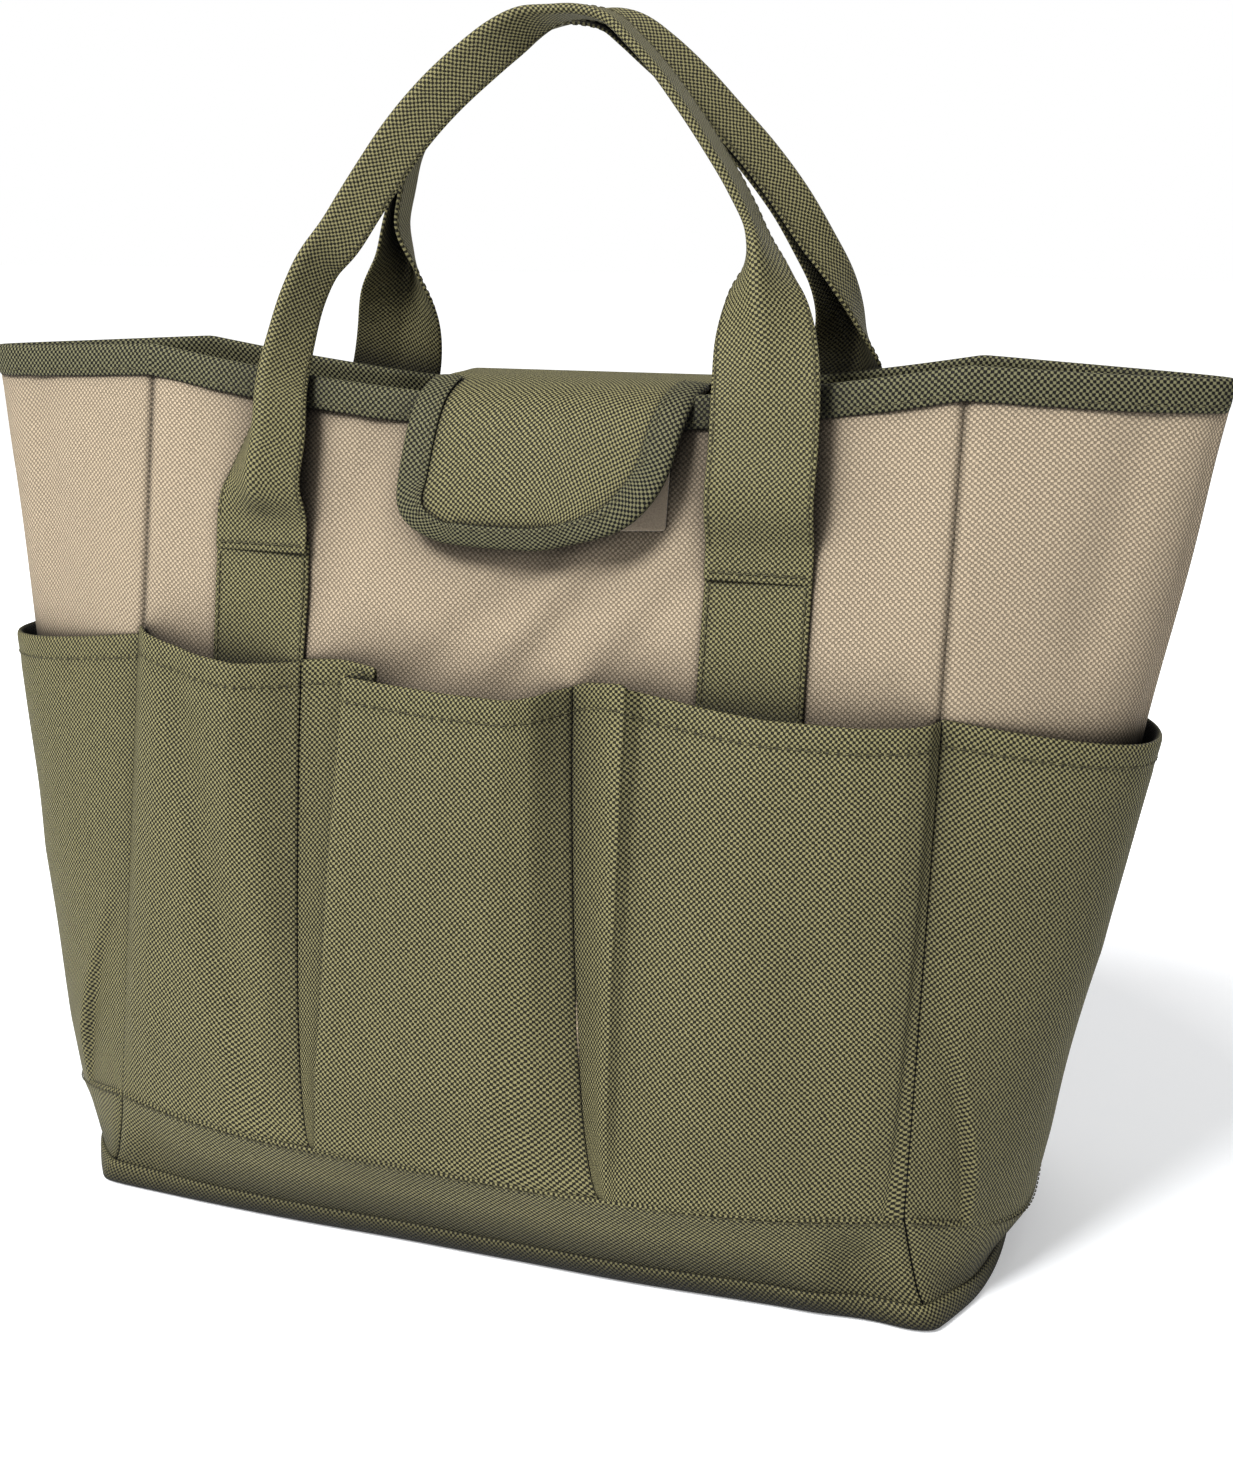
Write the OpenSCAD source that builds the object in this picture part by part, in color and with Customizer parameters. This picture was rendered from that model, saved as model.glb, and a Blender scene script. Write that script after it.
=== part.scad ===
// Garden tool bag: an open tote of stiff woven fabric with eight outside pockets,
// two carrying handles, a bound rim and a small closing flap.
// Millimetres. Origin: centre of the base, on the floor. +X width, +Y back, +Z up.

/* [Bag] */
// Width of the front and back panels between their side seams
panel_w = 330; // [310:5:350]
// Height of the rim above the floor
rim_h = 350; // [330:5:370]
// Depth of the base at its corners
base_d = 166; // [156:2:176]
// Depth of the mouth at the ends of the front panel
mouth_d = 46; // [42:2:60]
// How far a gusset stands out of its seams at the rim
gusset_out = 89; // [80:1:96]
// How far the front and back panels bow outward above the base
bow = 22; // [16:1:26]
// How far the rim hangs down between the handles
rim_sag = 17; // [5:1:20]
// How far the lower half of the left gusset leans out
lean_left = 3; // [0:1:6]
// How far the lower half of the right gusset leans in
lean_right = 13; // [0:1:14]
// Thickness of the woven fabric
fabric_t = 1.2; // [1:0.1:1.4]

/* [Base] */
// Height of the band round the base
band_h = 45; // [40:1:50]
// Height of the turned-up edge of the base panel
base_turn = 9; // [6:1:12]
// Thickness of the stiffening board
board_t = 2.4; // [2:0.2:3]

/* [Pockets] */
// Height of the pocket tops above the floor
pocket_h = 228; // [220:1:235]
// Place of the left seam between two pockets
divider_left = -82; // [-90:1:-74]
// Place of the right seam between two pockets
divider_right = 38; // [30:1:46]
// Fullness of a front or back pocket at its top
pocket_full = 15; // [12:1:18]
// Fullness of a side pocket, as a share of that
side_full = 0.65; // [0.5:0.05:0.7]

/* [Handles] */
// Width of the strap
strap_w = 40; // [36:1:42]
// Thickness of the strap
strap_t = 2; // [1.6:0.1:2.2]
// Distance between the two straps of a handle, centre to centre
strap_gap = 204; // [200:1:208]
// Place of the middle between the two straps
strap_mid = -9; // [-12:1:-6]
// Height of the seam where a strap leaves the panel
strap_seam_h = 278; // [272:1:282]
// Height of the middle line of the grip
grip_h = 466; // [450:1:480]
// Width of the grip, where the strap is folded in half
grip_w = 20; // [18:1:22]

/* [Flap] */
// Width of the flap
flap_w = 106; // [96:1:108]
// Middle of the flap where it crosses the mouth
flap_mid = 12; // [8:1:12]
// How far the flap's end lies to the left of that
flap_skew = 10; // [0:1:12]
// Width of the binding webbing after it is folded over an edge
binding_w = 12.5; // [10:0.5:14]
// Thickness of the binding webbing
binding_t = 1.2; // [1:0.1:1.3]

/* [Hidden] */

tan = [0.72, 0.63, 0.53];
olive = [0.42, 0.41, 0.28];
dark = [0.27, 0.26, 0.17];
board = [0.12, 0.12, 0.12];
taupe = [0.55, 0.49, 0.40];

// Clearance between two layers that are sewn together, and between two bodies
sew = 0.15;
free = 0.4;
half_w = panel_w / 2;
// Offset of the second layer from the inner face of the panels
layer = fabric_t + sew;
// Cells of a wall across, up the band and up the rest
cols = 20;
band_rows = 4;
rows = 12;

// Shape of the bag by height: half depth, bow, reach and roundness of the gussets
depth_at = [[0, base_d / 2], [band_h, base_d / 2 + 2], [rim_h, mouth_d / 2]];
bow_at = [[0, bow / 5], [band_h, bow], [pocket_h, bow / 4], [rim_h, 3]];
reach_at = [
    [0, 18], [band_h / 3, 32], [band_h, 52], [rim_h * 0.37, 68], [rim_h * 0.63, 77], [rim_h, gusset_out]
];
round_at = [[0, 3], [rim_h, 2]];
foot_at = [[0, 12], [band_h / 3, 6], [band_h, 0], [rim_h, 0]];

function mix(a, b, t) = a + (b - a) * t;
function unit(v) = v / norm(v);
function spread(from, to, n) = [for (i = [0:n]) mix(from, to, i / n)];
// Outward normal, level, of a wall that runs along v with its outside on the right
function outward(v) = unit([v[1], -v[0], 0]);

function droop(s, h) = rim_sag * (1 - pow(abs(s), 1.7)) * max(0, min(1, (h - 200) / (rim_h - 200)));
function seam_dip(h) = let(x = pow(h / band_h, 2)) 22 * x * exp(1 - x) + 4 * pow(h / rim_h, 4);
function swing(h, dir) = (dir > 0 ? -lean_right : lean_left) * sin(180 * sqrt(h / rim_h));

// Inner face of the front panel; s runs from -1 at the left seam to 1 at the right
function front_pt(s, h) = [
    s * (half_w + lookup(h, foot_at)),
    -lookup(h, depth_at) - lookup(h, bow_at) * (1 - pow(abs(s), 3)),
    h - droop(s, h)
];
// Inner face of the right gusset; t runs from -1 at the front seam to 1 at the back
function side_pt(t, h, dir) = [
    half_w + lookup(h, foot_at)
        + (lookup(h, reach_at) + swing(h, dir)) * (1 - pow(abs(t), lookup(h, round_at))),
    t * lookup(h, depth_at),
    h - seam_dip(h) * (1 - t * t)
];
function front_dir(s, h) = outward(front_pt(s + 0.01, h) - front_pt(s - 0.01, h));
function side_dir(t, h, dir) = outward(side_pt(t + 0.01, h, dir) - side_pt(t - 0.01, h, dir));
// The two walls share one direction at their seam, so that their layers meet there
function seam_dir(h, dir) = unit(front_dir(0.985, h) + side_dir(-0.985, h, dir));

function front_at(s, h, off) =
    let(sd = seam_dir(h, 1), d = abs(s) > 0.99 ? [sign(s) * sd[0], sd[1], 0] : front_dir(s, h))
    front_pt(s, h) + off * d;
function side_at(t, h, off, dir) =
    let(sd = seam_dir(h, dir), d = abs(t) > 0.99 ? [sd[0], -sign(t) * sd[1], 0] : side_dir(t, h, dir))
    side_pt(t, h, dir) + off * d;

// Closed solid between two equal grids of points, outer rows running left to right and up
module shell(outer, inner) {
    n = len(outer);
    m = len(outer[0]);
    count = n * m;
    border = concat(
        [for (j = [0:m - 1]) j],
        [for (i = [1:n - 1]) i * m + m - 1],
        [for (j = [m - 2:-1:0]) (n - 1) * m + j],
        [for (i = [n - 2:-1:1]) i * m]
    );
    faces = concat(
        [for (i = [0:n - 2], j = [0:m - 2]) let(a = i * m + j, b = a + m)
            each [[a, b, b + 1], [a, b + 1, a + 1]]],
        [for (i = [0:n - 2], j = [0:m - 2]) let(a = count + i * m + j, b = a + m)
            each [[a, b + 1, b], [a, a + 1, b + 1]]],
        [for (k = [0:len(border) - 1]) let(a = border[k], b = border[(k + 1) % len(border)])
            each [[a, b, b + count], [a, b + count, a + count]]]
    );
    polyhedron(points = concat([for (r = outer) each r], [for (r = inner) each r]), faces = faces);
}

// Solid swept through rings of points, each counterclockwise as the sweep comes towards the eye.
// closed joins the last ring to the first.
module sweep(rings, closed = false) {
    n = len(rings);
    m = len(rings[0]);
    last = closed ? n - 1 : n - 2;
    sides = [for (i = [0:last], j = [0:m - 1])
        let(a = i * m, b = ((i + 1) % n) * m, k = (j + 1) % m)
        each [[a + j, b + k, a + k], [a + j, b + j, b + k]]];
    caps = closed ? [] : [[for (j = [0:m - 1]) j], [for (j = [m - 1:-1:0]) (n - 1) * m + j]];
    polyhedron(points = [for (r = rings) each r], faces = concat(sides, caps));
}

// A layer of the front or of a gusset, from offset lo to offset hi
module front_layer(s0, s1, hs, lo, hi, nx) {
    ss = spread(s0, s1, nx);
    shell([for (h = hs) [for (s = ss) front_at(s, h, hi)]], [for (h = hs) [for (s = ss) front_at(s, h, lo)]]);
}
module side_layer(dir, hs, lo, hi, nt) {
    ts = spread(-0.998, 0.998, nt);
    shell([for (h = hs) [for (t = ts) side_at(t, h, hi, dir)]],
        [for (h = hs) [for (t = ts) side_at(t, h, lo, dir)]]);
}
module behind() { mirror([0, 1, 0]) children(); }
module place_side(dir) { mirror([dir < 0 ? 1 : 0, 0, 0]) children(); }

floor_h = fabric_t + sew;
band_hs = spread(floor_h, band_h, band_rows);
wall_hs = concat(band_hs, spread(mix(band_h, rim_h, 1 / rows), rim_h, rows - 1));
module wall() { front_layer(-0.999, 0.999, wall_hs, 0, fabric_t, cols); }
module gusset(dir) { place_side(dir) side_layer(dir, wall_hs, 0, fabric_t, cols); }
module front_panel() { color(tan) wall(); }
module back_panel() { color(tan) behind() wall(); }
module side_panel_left() { color(tan) gusset(-1); }
module side_panel_right() { color(tan) gusset(1); }

// The base panel is a shallow tray whose edge turns up outside the band
tray_off = layer + fabric_t + 7 * sew;
function turned(ring) = [for (p = ring) [-p[0], -p[1], p[2]]];
function half_ring(h, off, dir) = concat(
    [for (s = spread(-0.999, 0.999, cols)) front_at(s, h, off)],
    [for (t = spread(-0.998, 0.998, cols)) side_at(t, h, off, dir)]
);
function full_ring(h, off) = concat(half_ring(h, off, 1), turned(half_ring(h, off, -1)));
module base_panel() {
    color(olive) sweep(concat(
        [for (h = spread(0, base_turn, 2)) full_ring(h, tray_off + fabric_t)],
        [for (h = spread(base_turn, fabric_t, 2)) full_ring(h, tray_off)]
    ));
}
module base_board() {
    board_x = panel_w - 20;
    board_y = base_d - 14;
    corner = 12;
    color(board) translate([0, 0, floor_h]) linear_extrude(board_t) hull()
        for (x = [-1, 1], y = [-1, 1])
            translate([x * (board_x / 2 - corner), y * (board_y / 2 - corner)]) circle(corner, $fn = 32);
}

module band_long() { front_layer(-0.999, 0.999, band_hs, layer, layer + fabric_t, cols); }
module band_end(dir) { place_side(dir) side_layer(dir, band_hs, layer, layer + fabric_t, cols); }
module base_band_front() { color(olive) band_long(); }
module base_band_back() { color(olive) behind() band_long(); }
module base_band_left() { color(olive) band_end(-1); }
module base_band_right() { color(olive) band_end(1); }

// Webbing folded over an edge. A station is an edge point, the way into the sheet and its normal
function channel(st, gap) =
    let(e = st[0], in = st[1], n = st[2], a = fabric_t / 2 + gap, b = a + binding_t, c = gap + binding_t)
    [for (p = [[-gap, a], [-gap, -a], [binding_w, -a], [binding_w, -b], [-c, -b], [-c, b],
        [binding_w, b], [binding_w, a]]) e + p[0] * in + p[1] * n];
mid_off = fabric_t / 2;
function rim_front(s) = let(e = front_at(s, rim_h, mid_off))
    [e, unit(front_at(s, rim_h - binding_w, mid_off) - e), front_dir(s, rim_h)];
function rim_side(t, dir) = let(e = side_at(t, rim_h, mid_off, dir))
    [e, unit(side_at(t, rim_h - binding_w, mid_off, dir) - e), side_dir(t, rim_h, dir)];
function rim_half(dir) = concat([for (s = spread(-0.98, 0.98, 2 * cols)) rim_front(s)],
    [for (t = spread(-0.96, 0.96, 24)) rim_side(t, dir)]);
module rim_binding() {
    stations = concat(rim_half(1), [for (st = rim_half(-1)) turned(st)]);
    color(dark) sweep([for (st = stations) channel(st, 3 * sew)], closed = true);
}

// A pocket is sewn down on both sides and at the bottom, and stands off the wall at its open top
pocket_gap = layer;
pocket_foot = band_h + sew;
function fullness(u, v) = pocket_full * (0.25 + 0.75 * v) * min(1, 6 * v) * (1 - pow(abs(u), 4));
module front_pocket(x0, x1, drop) {
    us = spread(-1, 1, 14);
    vs = spread(0, 1, 9);
    function at(u, v, extra) = front_at(mix(x0, x1, (u + 1) / 2) / half_w,
        mix(pocket_foot, pocket_h - drop * (1 - u * u), v), pocket_gap + fullness(u, v) + extra);
    shell([for (v = vs) [for (u = us) at(u, v, fabric_t)]], [for (v = vs) [for (u = us) at(u, v, 0)]]);
}
module side_pocket(dir) {
    us = spread(-0.998, 0.998, 20);
    vs = spread(0, 1, 9);
    function at(u, v, extra) = side_at(u, mix(pocket_foot, pocket_h + 2 - 6 * (1 - u * u), v),
        pocket_gap + side_full * fullness(u, v) + extra, dir);
    place_side(dir) shell([for (v = vs) [for (u = us) at(u, v, fabric_t)]],
        [for (v = vs) [for (u = us) at(u, v, 0)]]);
}
seam_in = 0.6;
module left_pocket() { front_pocket(-half_w + seam_in, divider_left - seam_in, 4); }
module center_pocket() { front_pocket(divider_left + seam_in, divider_right - seam_in, 9); }
module right_pocket() { front_pocket(divider_right + seam_in, half_w - seam_in, 8); }
module pocket_front_left() { color(olive) left_pocket(); }
module pocket_front_center() { color(olive) center_pocket(); }
module pocket_front_right() { color(olive) right_pocket(); }
module pocket_back_left() { color(olive) behind() left_pocket(); }
module pocket_back_center() { color(olive) behind() center_pocket(); }
module pocket_back_right() { color(olive) behind() right_pocket(); }
module pocket_side_left() { color(olive) side_pocket(-1); }
module pocket_side_right() { color(olive) side_pocket(1); }

// The sewn part of a strap runs up behind the pocket to the seam where the handle leaves it
strap_left = strap_mid - strap_gap / 2;
strap_right = strap_mid + strap_gap / 2;
strap_foot_h = 75;
module sewn_strap(x) {
    front_layer((x - strap_w / 2) / half_w, (x + strap_w / 2) / half_w,
        spread(strap_foot_h, strap_seam_h, rows), layer, layer + strap_t, 4);
}
module strap_front_left() { color(olive) sewn_strap(strap_left); }
module strap_front_right() { color(olive) sewn_strap(strap_right); }
module strap_back_left() { color(olive) behind() sewn_strap(strap_left); }
module strap_back_right() { color(olive) behind() sewn_strap(strap_right); }

// Handle: the strap rises outside the binding, leans over the mouth and folds in half to a grip.
// A key is a point of the middle line, the strap's width and thickness there and the way it faces.
leg_off = layer + strap_t / 2 + free;
function leg_key(x, h, off) = [front_at(x / half_w, h, off), strap_w, strap_t, front_dir(x / half_w, h)];
function grip_key(x, y, share, w, t) = [[x, y, mix(rim_h, grip_h, share)], w, t, [0, -1, 0.1]];
seam_top_h = strap_seam_h + 3;
rim_off = layer + binding_t + 4 * sew + strap_t / 2 + 2 * free;
grip_t = 2 * strap_t;
taper_w = 0.75 * strap_w;
taper_t = 1.4 * strap_t;
function leg_keys(x) = [
    leg_key(x, seam_top_h, leg_off), leg_key(x, 302, mix(leg_off, rim_off, 0.7)),
    leg_key(x, 328, rim_off), leg_key(x, rim_h + 4, rim_off + 1)
];
arch_keys = [
    grip_key(strap_left + 6, -27, 0.2, strap_w, strap_t),
    grip_key(strap_left + 20, -23, 0.37, taper_w, taper_t),
    grip_key(-72, -19, 0.5, grip_w, grip_t),
    grip_key(-48, -15, 0.67, grip_w, grip_t),
    grip_key(-20, -10, 0.85, grip_w, grip_t),
    grip_key(14, -6, 1, grip_w, grip_t),
    grip_key(46, -11, 0.83, grip_w, grip_t),
    grip_key(67, -16, 0.6, grip_w, grip_t),
    grip_key(strap_right - 12, -21, 0.36, taper_w, taper_t),
    grip_key(strap_right - 4, -26, 0.18, strap_w, strap_t)
];
right_legs = leg_keys(strap_right);
handle_keys = concat(leg_keys(strap_left), arch_keys, [for (i = [len(right_legs) - 1:-1:0]) right_legs[i]]);
// Smooth curve through the keys
function catmull(a, b, c, d, t) =
    0.5 * (2 * b + (c - a) * t + (2 * a - 5 * b + 4 * c - d) * t * t + (3 * b - a - 3 * c + d) * t * t * t);
function key_at(keys, k, t) = let(n = len(keys) - 1, a = keys[max(0, k - 1)], b = keys[k],
    c = keys[k + 1], d = keys[min(n, k + 2)]) [for (i = [0:3]) catmull(a[i], b[i], c[i], d[i], t)];
function smooth(keys, n) = concat(
    [for (k = [0:len(keys) - 2], i = [0:n - 1]) key_at(keys, k, i / n)], [keys[len(keys) - 1]]);
module strap_sweep(keys) {
    path = smooth(keys, 3);
    n = len(path) - 1;
    sweep([for (i = [0:n]) let(
        p = path[i][0],
        along = unit(path[min(n, i + 1)][0] - path[max(0, i - 1)][0]),
        across = unit(cross(path[i][3], along)),
        out = unit(cross(along, across)),
        w = path[i][1] / 2,
        t = path[i][2] / 2
    ) [for (c = [[-w, -t], [w, -t], [w, t], [-w, t]]) p + c[0] * across + c[1] * out]]);
}
module handle_front() { color(olive) strap_sweep(handle_keys); }
module handle_back() { color(olive) behind() strap_sweep(handle_keys); }

// Flap: a tongue sewn outside the back panel that crosses the mouth and hangs down in front
tab_lo = layer + binding_t + 3 * sew;
tab_h0 = 292;
tab_h1 = rim_h - 3;
tab_s0 = (flap_mid - flap_w / 2) / half_w;
tab_s1 = (flap_mid + flap_w / 2) / half_w;
module flap_tab() {
    color(olive) behind()
        front_layer(tab_s0, tab_s1, spread(tab_h0, tab_h1, 4), tab_lo, tab_lo + fabric_t, 8);
}
// Its middle line in side view, from the back rim to its end, as [y, z]
back_edge = front_at(0, tab_h1, tab_lo + fabric_t / 2);
flap_root = [-back_edge[1], back_edge[2] + 4.5];
flap_keys = [
    flap_root, flap_root + [-0.5, 5], flap_root + [-6, 11], [12, 349], [-10, 349.5], [-25, 346], [-34.5, 336],
    [-40, 322], [-45.5, 306], [-50.5, 291], [-54, 279]
];
flap_curve = [for (k = [0:len(flap_keys) - 2], i = [0:1])
    catmull(flap_keys[max(0, k - 1)], flap_keys[k], flap_keys[k + 1],
        flap_keys[min(len(flap_keys) - 1, k + 2)], i / 2)];
flap_line = concat(flap_curve, [flap_keys[len(flap_keys) - 1]]);
flap_n = len(flap_line) - 1;
function flap_half(v) = let(c = max(0, (v - 0.72) / 0.28)) flap_w / 2 * (1 - 0.42 * pow(c, 2.6));
function flap_mid_at(v) = flap_mid - flap_skew * v;
function flap_turn(i) = let(d = flap_line[min(flap_n, i + 1)] - flap_line[max(0, i - 1)])
    unit([0, -d[1], d[0]]);
function flap_pt(u, i, off) = let(v = i / flap_n, p = flap_line[i])
    [flap_mid_at(v) + u * flap_half(v), p[0], p[1]] - off * flap_turn(i);
module flap() {
    us = spread(-1, 1, 10);
    color(olive) shell(
        [for (i = [flap_n:-1:0]) [for (u = us) flap_pt(u, i, fabric_t / 2)]],
        [for (i = [flap_n:-1:0]) [for (u = us) flap_pt(u, i, -fabric_t / 2)]]
    );
}
// Edge of the flap: down its left side, along its end and up its right side
edge_from = 3;
flap_edge = concat(
    [for (i = [edge_from:flap_n]) [-1, i]], [for (u = spread(-0.8, 0.8, 8)) [u, flap_n]],
    [for (i = [flap_n:-1:edge_from]) [1, i]]
);
function flap_station(k) = let(
    q = flap_edge[k], n = len(flap_edge) - 1,
    p = flap_pt(q[0], q[1], 0),
    a = flap_edge[max(0, k - 1)], b = flap_edge[min(n, k + 1)],
    along = unit(flap_pt(b[0], b[1], 0) - flap_pt(a[0], a[1], 0)),
    up = -flap_turn(q[1])
) [p, unit(cross(up, along)), up];
module flap_binding() {
    color(dark) sweep([for (k = [0:len(flap_edge) - 1]) let(st = flap_station(k), r = channel(st, 2 * sew))
        [for (j = [len(r) - 1:-1:0]) r[j]]]);
}

// Hook patch inside the flap and loop patch on the panel that it closes on
patch_x0 = -34;
patch_x1 = 34;
patch_i0 = flap_n - 6;
patch_i1 = flap_n - 3;
patch_lo = fabric_t / 2 + sew;
patch_t = 1.2;
module hook_patch() {
    us = spread(-0.66, 0.66, 6);
    color(dark) shell(
        [for (i = [patch_i1:-1:patch_i0]) [for (u = us) flap_pt(u, i, -patch_lo)]],
        [for (i = [patch_i1:-1:patch_i0]) [for (u = us) flap_pt(u, i, -patch_lo - patch_t)]]
    );
}
module loop_patch() {
    color(taupe) front_layer(patch_x0 / half_w, (patch_x1 + 24) / half_w, spread(298, 324, 3),
        layer, layer + patch_t, 6);
}

front_panel();
back_panel();
side_panel_left();
side_panel_right();
base_panel();
base_board();
base_band_front();
base_band_back();
base_band_left();
base_band_right();
rim_binding();
pocket_front_left();
pocket_front_center();
pocket_front_right();
pocket_back_left();
pocket_back_center();
pocket_back_right();
pocket_side_left();
pocket_side_right();
strap_front_left();
strap_front_right();
strap_back_left();
strap_back_right();
handle_front();
handle_back();
flap_tab();
flap();
flap_binding();
hook_patch();
loop_patch();
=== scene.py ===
"""Looks of a garden tool bag: woven walls, pleated pockets, folded handles and a bound flap."""

import math

import bpy
import numpy as np
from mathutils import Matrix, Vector


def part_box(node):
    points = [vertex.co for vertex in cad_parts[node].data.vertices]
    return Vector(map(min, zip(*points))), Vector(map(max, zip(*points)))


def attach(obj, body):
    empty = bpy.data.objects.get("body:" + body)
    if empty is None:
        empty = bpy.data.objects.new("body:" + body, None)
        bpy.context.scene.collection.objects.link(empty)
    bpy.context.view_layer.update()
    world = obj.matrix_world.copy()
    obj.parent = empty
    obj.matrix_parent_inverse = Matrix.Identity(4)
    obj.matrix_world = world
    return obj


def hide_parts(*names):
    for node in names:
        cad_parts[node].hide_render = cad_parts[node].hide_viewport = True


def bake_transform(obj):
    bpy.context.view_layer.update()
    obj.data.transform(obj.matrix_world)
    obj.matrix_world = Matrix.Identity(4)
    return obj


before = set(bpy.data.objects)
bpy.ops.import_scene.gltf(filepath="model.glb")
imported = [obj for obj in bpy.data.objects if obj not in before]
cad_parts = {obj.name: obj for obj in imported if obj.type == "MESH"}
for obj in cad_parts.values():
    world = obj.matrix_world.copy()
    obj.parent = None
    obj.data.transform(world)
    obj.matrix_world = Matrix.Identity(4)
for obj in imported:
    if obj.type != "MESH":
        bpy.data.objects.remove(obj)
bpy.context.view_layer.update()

# ---------------------------------------------------------------- sizes, in millimetres
MM = 0.001


def cad(node):
    """Corners of a CAD node in millimetres."""
    lo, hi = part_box(node)
    return np.array(lo) / MM, np.array(hi) / MM


HALF_W = 165.0
RIM_H = cad("side_panel_right")[1][2]
BAND_H = 45.0
POCKET_H = 228.0
BASE_HALF = 83.0
MOUTH_HALF = cad("front_panel")[1][1] * -1
BOW = 22.0
RIM_SAG = 17.0
SWAY = {-1: 3.0, 1: 13.0}
REACH_TOP = 89.0
FABRIC = 1.2
LAYER = FABRIC + 0.15
POCKET_CLOTH = 0.9
BAND_CLOTH = 1.0
FLAP_CLOTH = 1.1
STRAP_CLOTH = 1.5
WEBBING_CLOTH = 0.9
TAPE_CLOTH = 1.0
HOOK_CLOTH = 0.9
STRAP_W = 41.0
STRAP_X = {"front": (-109.0, 95.0), "back": (-111.0, 95.0)}
BINDING = 10.8


def mix(a, b, t):
    return a + (b - a) * t


def ease(t):
    t = np.clip(t, 0, 1)
    return t * t * (3 - 2 * t)


def bump(x, centre, width):
    return np.exp(-(((x - centre) / width) ** 2))


# ---------------------------------------------------------------- the bag's own shape, as in the frame
def half_depth(h):
    return np.interp(h, (0, BAND_H, RIM_H), (BASE_HALF, BASE_HALF + 2, MOUTH_HALF))


def bow(h):
    return np.interp(h, (0, BAND_H, POCKET_H, RIM_H), (4, BOW, BOW / 4, 3))


def foot(h):
    return np.interp(h, (0, BAND_H / 3, BAND_H), (12, 6, 0))


def reach(h, side):
    out = np.interp(h, (0, 15, 45, 129.5, 220.5, RIM_H), (18, 32, 52, 68, 77, REACH_TOP))
    return out - side * SWAY[side] * np.sin(np.pi * np.sqrt(np.clip(h, 0, RIM_H) / RIM_H))


def droop(s, h):
    return RIM_SAG * (1 - np.abs(s) ** 1.7) * np.clip((h - 200) / (RIM_H - 200), 0, 1)


def seam_dip(h):
    x = (h / BAND_H) ** 2
    return 22 * x * np.exp(1 - x) + 4 * (h / RIM_H) ** 4


def stack(*parts):
    return np.stack(np.broadcast_arrays(*parts), -1).astype(float)


def front_base(s, h):
    """Inner face of the front panel; s runs from -1 to 1 between its side seams."""
    return stack(
        s * (HALF_W + foot(h)), -half_depth(h) - bow(h) * (1 - np.abs(s) ** 3), h - droop(s, h)
    )


def side_base(t, h, side):
    """Inner face of a gusset, before it is mirrored for the left; t runs from -1 at the front seam to 1."""
    power = mix(3.0, 1.8, h / RIM_H)
    x = HALF_W + foot(h) + reach(h, side) * (1 - np.abs(t) ** power)
    return stack(x, t * half_depth(h), h - seam_dip(h) * (1 - t * t))


def outward(d):
    n = stack(d[..., 1], -d[..., 0], 0 * d[..., 0])
    return n / np.linalg.norm(n, axis=-1, keepdims=True)


def seam_normal(h, side):
    a = outward(front_base(0.995, h) - front_base(0.975, h))
    b = outward(side_base(-0.975, h, side) - side_base(-0.995, h, side))
    n = a + b
    return n / np.linalg.norm(n, axis=-1, keepdims=True)


def front_at(s, h, off):
    """A point of the front wall, moved outward by off."""
    s, h, off = np.broadcast_arrays(np.asarray(s, float), h, off)
    n = outward(front_base(s + 0.01, h) - front_base(s - 0.01, h))
    m = seam_normal(h, 1)
    m = stack(np.sign(s) * m[..., 0], m[..., 1], m[..., 2])
    w = np.clip((np.abs(s) - 0.96) / 0.04, 0, 1)[..., None]
    n = mix(n, m, w)
    return front_base(s, h) + off[..., None] * n


def side_at(t, h, off, side):
    """A point of a gusset, moved outward by off and mirrored for the left side."""
    t, h, off = np.broadcast_arrays(np.asarray(t, float), h, off)
    n = outward(side_base(t + 0.01, h, side) - side_base(t - 0.01, h, side))
    m = seam_normal(h, side)
    m = stack(m[..., 0], -np.sign(t) * m[..., 1], m[..., 2])
    w = np.clip((np.abs(t) - 0.93) / 0.07, 0, 1)[..., None]
    n = mix(n, m, w)
    p = side_base(t, h, side) + off[..., None] * n
    p[..., 0] *= side
    return p


def behind(p):
    """The same point on the back of the bag."""
    return p * np.array([1.0, -1.0, 1.0])


# Each dent is its centre, its radius and how far it pushes the cloth out.
CORNER_DENTS = [
    (150, -95, 24, 12, -5.0), (135, -99, 13, 11, 3.6), (180, -60, 20, 15, 3.0), (-152, -94, 22, 12, -2.5),
    (-180, -60, 18, 14, 2.5), (60, -105, 18, 30, 1.2), (172, -88, 6, 11, 3.5), (150, 95, 24, 13, -3.0),
    (-150, 95, 22, 13, -3.0), (-40, -105, 24, 34, -1.2),
]


def corner_crumple(p):
    """Soft dents where the band is gathered into the base corners."""
    out = np.zeros(p.shape[:-1])
    for x, y, z, radius, depth in CORNER_DENTS:
        apart = (p[..., 0] - x) ** 2 + (p[..., 1] - y) ** 2 + (p[..., 2] - z) ** 2
        out += depth * np.exp(-apart / radius**2)
    return out


def push_out(p, amount):
    """Moves points level and away from the bag's middle line."""
    c = stack(np.clip(p[..., 0], -130, 130), 0 * p[..., 1], p[..., 2])
    d = p - c
    d[..., 2] = 0
    d /= np.maximum(np.linalg.norm(d, axis=-1, keepdims=True), 1)
    return p + d * amount[..., None]


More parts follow.
